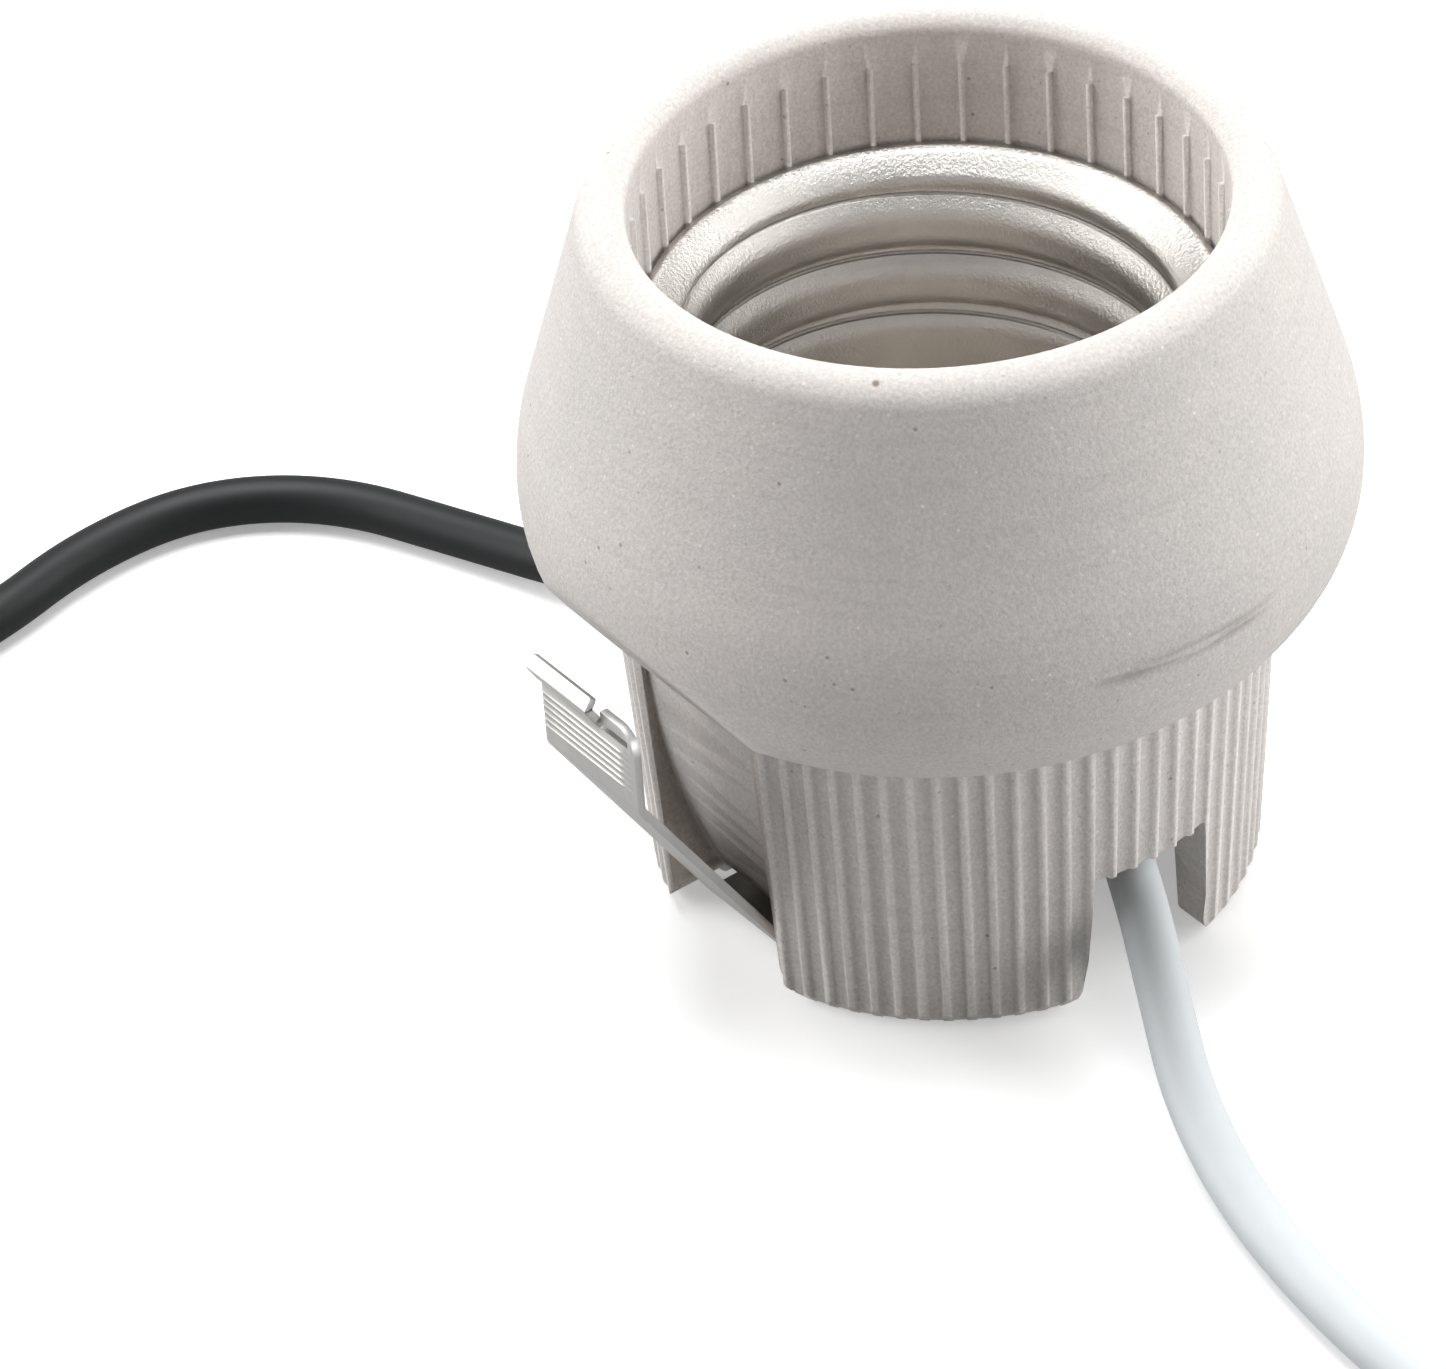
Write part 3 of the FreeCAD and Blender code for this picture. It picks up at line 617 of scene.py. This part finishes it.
shell_mesh = bmesh.new()
outline = [shell_mesh.verts.new(point) for point in (
    (0.0056, 0, shell_floor),
    (0.0090, 0, shell_floor),
    (0.0108, 0, shell_floor),
    (0.01145, 0, shell_floor + 0.00012),
    (0.01190, 0, shell_floor + 0.00062),
    (0.01217, 0, shell_floor + 0.0016),
    (0.01228, 0, shell_floor + 0.0027),
    (minor_radius, 0, wall_foot),
    (minor_radius, 0, wall_top),
    (0.01375, 0, 0.03300),
    (0.01405, 0, 0.03330),
    (0.01430, 0, 0.03345),
    (0.01460, 0, 0.03342),
)]
outline_edges = [shell_mesh.edges.new(pair) for pair in zip(outline, outline[1:])]
bmesh.ops.subdivide_edges(shell_mesh, edges=[outline_edges[7]], cuts=wall_rows)
bmesh.ops.spin(
    shell_mesh, geom=shell_mesh.verts[:] + shell_mesh.edges[:], cent=(0, 0, 0), axis=(0, 0, 1),
    angle=2 * math.pi, steps=shell_steps, use_merge=True)
print("shell wall", len(shell_mesh.faces), "faces")

# %% Roll the thread
def eased(value, low, high):
    """0 below low and 1 above high, with a soft start and end."""
    share = min(1, max(0, (value - low) / (high - low)))
    return share * share * (3 - 2 * share)


for vertex in shell_mesh.verts:
    radius = math.hypot(vertex.co.x, vertex.co.y)
    height = vertex.co.z
    if height < wall_foot - 0.0001 or height > wall_top + 0.0001:
        continue
    angle = math.atan2(vertex.co.y, vertex.co.x) - crest_angle
    angle = (angle + math.pi) % (2 * math.pi) - math.pi
    phase = (height - crest_height - thread_pitch * angle / (2 * math.pi)) / thread_pitch
    wave = (0.5 - 0.5 * math.cos(2 * math.pi * phase)) ** groove_sharpness
    rolled = thread_depth * wave * eased(height, 0.0228, 0.0252)
    flare = 0.0013 * eased(height, 0.0316, 0.0331)
    new_radius = minor_radius + max(rolled, flare) * 0.75 + 0.25 * min(thread_depth, rolled + flare)
    vertex.co.x *= new_radius / radius
    vertex.co.y *= new_radius / radius

bmesh.ops.remove_doubles(shell_mesh, verts=shell_mesh.verts[:], dist=0.000001)
bmesh.ops.recalc_face_normals(shell_mesh, faces=shell_mesh.faces[:])
print("shell rolled", len(shell_mesh.verts), "vertices")


# %% Finish the shell's sheet
def give_thickness(piece, thickness, offset):
    """Sheet metal from a single wall."""
    modifier = piece.modifiers.new("sheet", "SOLIDIFY")
    modifier.thickness = thickness
    modifier.offset = offset
    modifier.use_even_offset = True


shell_metal, tree, shader = new_material("rolled_sheet", 0.3, metallic=1.0)
grain = use_group(tree, grain_group, Scale=5200.0, Coarse=0.2)
broad = use_group(tree, mottle_group, Scale=260.0, Contrast=1.5)
metal_colour = blend_colours(tree, broad.outputs["Value"], (0.52, 0.50, 0.475), (0.66, 0.64, 0.61))
rough = math_node(tree, "MULTIPLY_ADD", broad.outputs["Value"], 0.14, 0.27)
tree.links.new(rough, shader.inputs["Roughness"])
place = tree.nodes.new("ShaderNodeTexCoord")
parts = tree.nodes.new("ShaderNodeSeparateXYZ")
tree.links.new(place.outputs["Object"], parts.inputs["Vector"])
around = math_node(tree, "ARCTAN2", parts.outputs["Y"], parts.outputs["X"])
turns = math_node(tree, "MULTIPLY_ADD", around, -1 / (2 * math.pi), crest_angle / (2 * math.pi))
climb = math_node(tree, "MULTIPLY_ADD", parts.outputs["Z"],
                  1 / thread_pitch, -crest_height / thread_pitch)
phase = math_node(tree, "FRACT", math_node(tree, "ADD", climb, turns))
mark_phase = 0.44
from_mark = math_node(tree, "ABSOLUTE", math_node(tree, "SUBTRACT", phase, mark_phase))
on_thread = math_node(tree, "MULTIPLY", between(tree, parts.outputs["Z"], 0.0232, 0.0245),
                      between(tree, parts.outputs["Z"], 0.0326, 0.0320))
# Painted shade: the scored line in the groove is darkened in the colour; its dent comes from the
# bump below.
mark = math_node(tree, "MULTIPLY", between(tree, from_mark, 0.032, 0.008), on_thread)
metal_colour = laid_over(tree, metal_colour, mark, 0.55, (0.22, 0.21, 0.20))
tree.links.new(metal_colour, shader.inputs["Base Color"])
scored = add_bump(tree, shader, math_node(tree, "SUBTRACT", 1.0, mark), 0.00007, 1.0)
add_bump(tree, shader, grain.outputs["Height"], 0.00006, 1.0, scored.outputs["Normal"])

shell = mesh_object("threaded_shell", shell_mesh, shell_metal)
give_thickness(shell, 0.00033, 1)
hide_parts("screw_shell")
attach(shell, "holder")
print("shell made")

# %% [markdown]
# ## The clips
#
# Each clip is one strip of hardened spring steel, stamped, folded and left
# with its rolled satin surface. The finish is a warm satin grey with fine
# streaks along the strip, as rolling leaves them, and brighter edges where the
# tool sheared it. The contact's spring and washer are of the same steel.

# %% The clip finish
spring_steel, tree, shader = new_material("spring_steel", 0.34, metallic=1.0)
place = tree.nodes.new("ShaderNodeTexCoord")
stretch = tree.nodes.new("ShaderNodeMapping")
stretch.inputs["Scale"].default_value = (1.0, 22.0, 1.0)
tree.links.new(place.outputs["Object"], stretch.inputs["Vector"])
streaks = tree.nodes.new("ShaderNodeTexNoise")
streaks.inputs["Scale"].default_value = 260.0
streaks.inputs["Detail"].default_value = 3.0
tree.links.new(stretch.outputs["Vector"], streaks.inputs["Vector"])
edges = use_group(tree, edge_group, Sharpness=6.0)
steel_colour = blend_colours(tree, streaks.outputs["Fac"], (0.44, 0.43, 0.415), (0.56, 0.55, 0.535))
steel_colour = blend_colours(tree, edges.outputs["Mask"], steel_colour, (0.66, 0.66, 0.65))
tree.links.new(steel_colour, shader.inputs["Base Color"])
rough = math_node(tree, "MULTIPLY_ADD", streaks.outputs["Fac"], 0.2, 0.36)
tree.links.new(rough, shader.inputs["Roughness"])
add_bump(tree, shader, streaks.outputs["Fac"], 0.00002, 0.5)
for name in ("contact_spring", "cup_washer"):
    dress(name, spring_steel)
print("clip finish made")

# %% [markdown]
# ## The clips' form
#
# The strip is sheared, pressed with six fine ridges, slit at its top and then
# folded: a leg with a barb that hooks into the ceramic, a foot, a long arm
# that slopes up and outwards, and the ridged plate. Beside the slit the top
# edge is curled out and back into a small bright lip. The solid has all of
# this in plain folds. Here one line of the outer face is drawn, pulled sideways
# into a sheet, trimmed, and given its thickness, so that the ridges and the
# curl have the real rounded edges. The second clip is the first one turned
# half round.

# %% The line of the strip
def folded(points, radius, steps):
    """A line of straight runs in the XZ plane with a round bend at each corner."""
    line = [points[0]]
    for before, corner, after in zip(points, points[1:], points[2:]):
        arriving = (corner - before).normalized()
        leaving = (after - corner).normalized()
        half_turn = arriving.angle(leaving) / 2
        setback = radius * math.tan(half_turn)
        middle = corner + (leaving - arriving).normalized() * (radius / math.cos(half_turn))
        first = corner - arriving * setback - middle
        last = corner + leaving * setback - middle
        for step in range(steps + 1):
            heading = first.normalized().slerp(last.normalized(), step / steps)
            line.append(middle + heading * first.length)
    line.append(points[-1])
    return line


def strip_points(*pairs):
    return [Vector((x / 1000, 0, z / 1000)) for x, z in pairs]


plate_x = 22.7
fold_z = 19.4
first_ridge_z = 16.7
ridge_pitch = 0.42
ridge_rise = 0.06
strip_line = folded(strip_points(
    (10.3, 6.6), (10.3, 0.5), (13.3, 0.5), (plate_x, 15.6), (plate_x, 16.6)), 0.001, 6)
strip_line[1:1] = strip_points((10.3, 6.0), (10.3, 4.9))
crests = []
for index in range(6):
    level = first_ridge_z + index * ridge_pitch
    crests.append(level + 0.09)
    strip_line += strip_points((plate_x, level), (plate_x, level + 0.09), (plate_x, level + 0.18))
strip_line += strip_points((plate_x, fold_z), (plate_x, fold_z + 0.45), (plate_x, 20.5))
lip_line = folded(strip_points(
    (plate_x, fold_z), (plate_x + 0.30, fold_z + 0.42), (plate_x + 0.86, fold_z + 1.40),
    (plate_x + 0.40, fold_z + 2.08)), 0.00022, 4)
print("strip line", len(strip_line), "points, lip line", len(lip_line))


# %% The sheet of the strip
def pulled_sheet(work, line, columns):
    """Pull a line sideways through the given places into a sheet."""
    row = [work.verts.new((point.x, columns[0] / 1000, point.z)) for point in line]
    edges = [work.edges.new(pair) for pair in zip(row, row[1:])]
    for before, after in zip(columns, columns[1:]):
        pulled = bmesh.ops.extrude_edge_only(work, edges=edges)["geom"]
        corners = [item for item in pulled if isinstance(item, bmesh.types.BMVert)]
        bmesh.ops.translate(work, verts=corners, vec=(0, (after - before) / 1000, 0))
        edges = [item for item in pulled if isinstance(item, bmesh.types.BMEdge)]
        edges = [edge for edge in edges if abs(edge.verts[0].co.y - edge.verts[1].co.y) < 1e-7]


def faces_within(work, low, high):
    """Faces whose middle lies in a box given in millimetres."""
    chosen = []
    for face in work.faces:
        middle = face.calc_center_median() * 1000
        if all(a < value < b for a, value, b in zip(low, middle, high)):
            chosen.append(face)
    return chosen


lip_end = 1.15
ridge_end = 2.95
corner_radius = 1.3
half_width = 3.85
clip_mesh = bmesh.new()
pulled_sheet(clip_mesh, strip_line, (
    -half_width, -0.9, 0.9, 1.05, lip_end, 2.55, 2.85, ridge_end, 3.35, 3.65, half_width))
for low, high in (
    ((22, -4, fold_z), (24, lip_end, 21)),
    ((22, 1.04, fold_z), (24, 3.35, fold_z + 0.45)),
    ((10, -0.9, 4.9), (11, 0.9, 6.0)),
):
    bmesh.ops.delete(clip_mesh, geom=faces_within(clip_mesh, low, high), context="FACES")
pulled_sheet(clip_mesh, lip_line, (-half_width, -0.9, 0.9, 1.05))
for vertex in clip_mesh.verts:
    across = vertex.co.y * 1000
    height = vertex.co.z * 1000
    if across <= ridge_end - 0.05 and any(abs(height - crest) < 0.001 for crest in crests):
        vertex.co.x += ridge_rise / 1000
    if across > half_width - corner_radius + 0.001 and height > 20.5 - corner_radius:
        reach = across - (half_width - corner_radius)
        limit = 20.5 - corner_radius + math.sqrt(max(0, corner_radius ** 2 - reach ** 2))
        vertex.co.z = min(height, limit) / 1000
bmesh.ops.remove_doubles(clip_mesh, verts=clip_mesh.verts[:], dist=0.000002)
bmesh.ops.dissolve_degenerate(clip_mesh, edges=clip_mesh.edges[:], dist=0.000002)
lip_corners = [vertex for vertex in clip_mesh.verts
               if vertex.co.z > (fold_z + 2.05) / 1000 and abs(vertex.co.y - 0.00105) < 1e-6]
bmesh.ops.bevel(
    clip_mesh, geom=lip_corners, offset=0.00035, segments=3, affect="VERTICES", profile=0.5)
print("clip sheet", len(clip_mesh.faces), "faces", len(lip_corners), "lip corners")


# %% The barb and the finished clips
def on_window_top(vertex):
    """Whether a corner lies on the upper edge of the barb's window."""
    return abs(vertex.co.z - 0.0060) < 1e-6 and abs(vertex.co.y) < 0.00091


window_top = [edge for edge in clip_mesh.edges
              if edge.is_boundary and all(on_window_top(vertex) for vertex in edge.verts)]
pulled = bmesh.ops.extrude_edge_only(clip_mesh, edges=window_top)["geom"]
tip = [item for item in pulled if isinstance(item, bmesh.types.BMVert)]
bmesh.ops.translate(clip_mesh, verts=tip, vec=(0.00075, 0, -0.0011))
bmesh.ops.recalc_face_normals(clip_mesh, faces=clip_mesh.faces[:])
plate_face = faces_within(clip_mesh, (22.6, -4, 15.9), (23, 4, 16.7))[0]
if plate_face.normal.x < 0:
    bmesh.ops.reverse_faces(clip_mesh, faces=clip_mesh.faces[:])
second_mesh = clip_mesh.copy()
bmesh.ops.rotate(
    second_mesh, verts=second_mesh.verts[:], cent=(0, 0, 0),
    matrix=Matrix.Rotation(math.pi, 3, "Z"))
for side, sheet in (("right", clip_mesh), ("left", second_mesh)):
    clip = mesh_object(side + "_clip_sheet", sheet, spring_steel)
    give_thickness(clip, 0.00045, -1)
    rounded = clip.modifiers.new("sheared edges", "BEVEL")
    rounded.width = 0.00005
    rounded.segments = 2
    rounded.limit_method = "ANGLE"
    rounded.angle_limit = math.radians(35)
    clip.data.set_sharp_from_angle(angle=math.radians(50))
    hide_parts("clip_" + side)
    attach(clip, side + "_clip")
print("clips 2")

# %% [markdown]
# ## Brass, plated and tinned parts
#
# The centre contact is brass, a little darkened by air. The rivets are bright
# plated steel, and the terminals and the bare strands are tinned, which gives
# a soft, slightly wavy white metal. They share one recipe: a metal colour that
# drifts, a roughness that drifts with it, and a fine tooth.

# %% Small metal finishes
def small_metal(name, dark, light, smooth_part, rough_part):
    """A metal whose colour and polish drift a little over the surface."""
    material, tree, shader = new_material(name, 0.3, metallic=1.0)
    drift = use_group(tree, mottle_group, Scale=420.0, Contrast=1.8)
    tooth = use_group(tree, grain_group, Scale=4000.0, Coarse=0.4)
    rubbed = use_group(tree, edge_group, Sharpness=5.0)
    colour = blend_colours(tree, drift.outputs["Value"], dark, light)
    lighter = tuple(min(1.0, part * 1.12) for part in light)
    colour = blend_colours(tree, rubbed.outputs["Mask"], colour, lighter)
    tree.links.new(colour, shader.inputs["Base Color"])
    rough = math_node(tree, "MULTIPLY_ADD", drift.outputs["Value"], rough_part, smooth_part)
    tree.links.new(rough, shader.inputs["Roughness"])
    add_bump(tree, shader, tooth.outputs["Height"], 0.00002, 0.4)
    return material


brass = small_metal("aged_brass", (0.44, 0.34, 0.20), (0.62, 0.50, 0.31), 0.26, 0.2)
plated = small_metal("plated_steel", (0.60, 0.60, 0.59), (0.78, 0.78, 0.78), 0.16, 0.16)
tinned = small_metal("tinned_copper", (0.62, 0.61, 0.59), (0.80, 0.79, 0.77), 0.24, 0.22)
for name, material in (
    ("contact_cup", brass), ("contact_plunger", brass), ("shell_rivets", plated),
    ("rivet_washer", plated), ("terminal_white", tinned), ("terminal_black", tinned),
    ("strands_white", tinned), ("strands_black", tinned),
):
    dress(name, material)
print("small metals 3")

# %% [markdown]
# ## The lead skins
#
# Both skins are extruded plastic. The white one is a cool satin white, and the
# black one a dark grey-black with the same soft shine. Extrusion leaves an
# almost even surface, so only a faint mottle and a very fine tooth are added.

# %% The lead finishes
def lead_skin(name, dark, light, roughness, shine):
    """Extruded insulation with a faint drift in colour."""
    material, tree, shader = new_material(name, roughness)
    shader.inputs["Specular IOR Level"].default_value = shine
    drift = use_group(tree, mottle_group, Scale=300.0, Contrast=1.3)
    tooth = use_group(tree, grain_group, Scale=2500.0, Coarse=0.6)
    colour = blend_colours(tree, drift.outputs["Value"], dark, light)
    tree.links.new(colour, shader.inputs["Base Color"])
    rough = math_node(tree, "MULTIPLY_ADD", drift.outputs["Value"], 0.12, roughness - 0.06)
    tree.links.new(rough, shader.inputs["Roughness"])
    add_bump(tree, shader, tooth.outputs["Height"], 0.00002, 0.35)
    return material


white_skin = lead_skin("white_insulation", (0.50, 0.53, 0.545), (0.54, 0.57, 0.585), 0.55, 0.3)
black_skin = lead_skin("black_insulation", (0.005, 0.0065, 0.007), (0.009, 0.0105, 0.011), 0.5, 0.3)
white_lead.data.materials.append(white_skin)
black_lead.data.materials.append(black_skin)
print("lead skins made")

# %% [markdown]
# ## Floor, light and background
#
# The photograph is a plain product shot on pure white. The largest soft lamp
# hangs above and a little behind, weaker ones stand to the left and the right,
# and a low one fills the front. By the light path, the floor is near white to
# the camera and a plain grey to other rays, with a little light of its own.
# The world is white to the camera, greyer to reflections from the front and
# the back than from the sides, and only a faint light on the clay, so that the
# colours stay true.

# %% The floor
floor_mesh = bmesh.new()
bmesh.ops.create_grid(floor_mesh, x_segments=1, y_segments=1, size=1.5)
floor_material, tree, shader = new_material("pale_floor", 0.9)
path = tree.nodes.new("ShaderNodeLightPath")
floor_colour = blend_colours(
    tree, path.outputs["Is Camera Ray"], (0.26, 0.26, 0.26), (0.9, 0.9, 0.9))
tree.links.new(floor_colour, shader.inputs["Base Color"])
shader.inputs["Emission Color"].default_value = (1, 1, 1, 1)
glow = math_node(tree, "MULTIPLY_ADD", path.outputs["Is Camera Ray"], 0.05, 0.25)
tree.links.new(glow, shader.inputs["Emission Strength"])
floor = mesh_object("floor", floor_mesh, floor_material, smooth=False)
floor.data.transform(Matrix.Translation((0, 0, -0.0001)))
floor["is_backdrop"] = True

# %% The world
ambient = 0.11
photo_right = (0.795, -0.606, 0.0)
world = bpy.data.worlds.new("studio")
bpy.context.scene.world = world
world.use_nodes = True
tree = world.node_tree
background = tree.nodes["Background"]
background.inputs["Color"].default_value = (1, 1, 1, 1)
path = tree.nodes.new("ShaderNodeLightPath")
heading = tree.nodes.new("ShaderNodeNewGeometry")
sideways = tree.nodes.new("ShaderNodeVectorMath")
sideways.operation = "DOT_PRODUCT"
sideways.inputs[1].default_value = photo_right
tree.links.new(heading.outputs["Incoming"], sideways.inputs[0])
to_side = between(tree, math_node(tree, "ABSOLUTE", sideways.outputs["Value"]), 0.25, 0.85)
mirrored = math_node(tree, "MULTIPLY_ADD", to_side, 0.6, 0.4)
direct = math_node(
    tree, "MAXIMUM", path.outputs["Is Camera Ray"], path.outputs["Is Transmission Ray"])
extra = math_node(tree, "SUBTRACT", mirrored, ambient)
glossy = math_node(tree, "MULTIPLY", path.outputs["Is Glossy Ray"], extra)
seen = math_node(tree, "MULTIPLY_ADD", direct, 1 - ambient, ambient)
strength = math_node(tree, "ADD", seen, glossy)
tree.links.new(strength, background.inputs["Strength"])


# %% The lamps
def soft_lamp(name, place, aim, size, power):
    """A large square lamp that points at the object."""
    data = bpy.data.lights.new(name, "AREA")
    data.size = size
    data.energy = power
    lamp = bpy.data.objects.new(name, data)
    bpy.context.scene.collection.objects.link(lamp)
    lamp.location = place
    lamp.rotation_euler = (Vector(aim) - Vector(place)).to_track_quat("-Z", "Y").to_euler()
    return lamp


centre = (0, 0, 0.02)
soft_lamp("left_lamp", (-0.44, 0.42, 0.24), centre, 0.5, 3.6)
soft_lamp("right_lamp", (0.54, -0.25, 0.20), centre, 0.5, 2.9)
soft_lamp("top_lamp", (0.07, 0.13, 0.60), centre, 0.5, 5.8)
soft_lamp("fill_lamp", (0.28, -0.48, 0.07), centre, 0.4, 1.9)
print("lamps 4")

# %% View settings and the object's size
bpy.context.scene.view_settings.view_transform = "Standard"
low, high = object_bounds()
print("box in mm", [round(size * 1000, 1) for size in high - low])
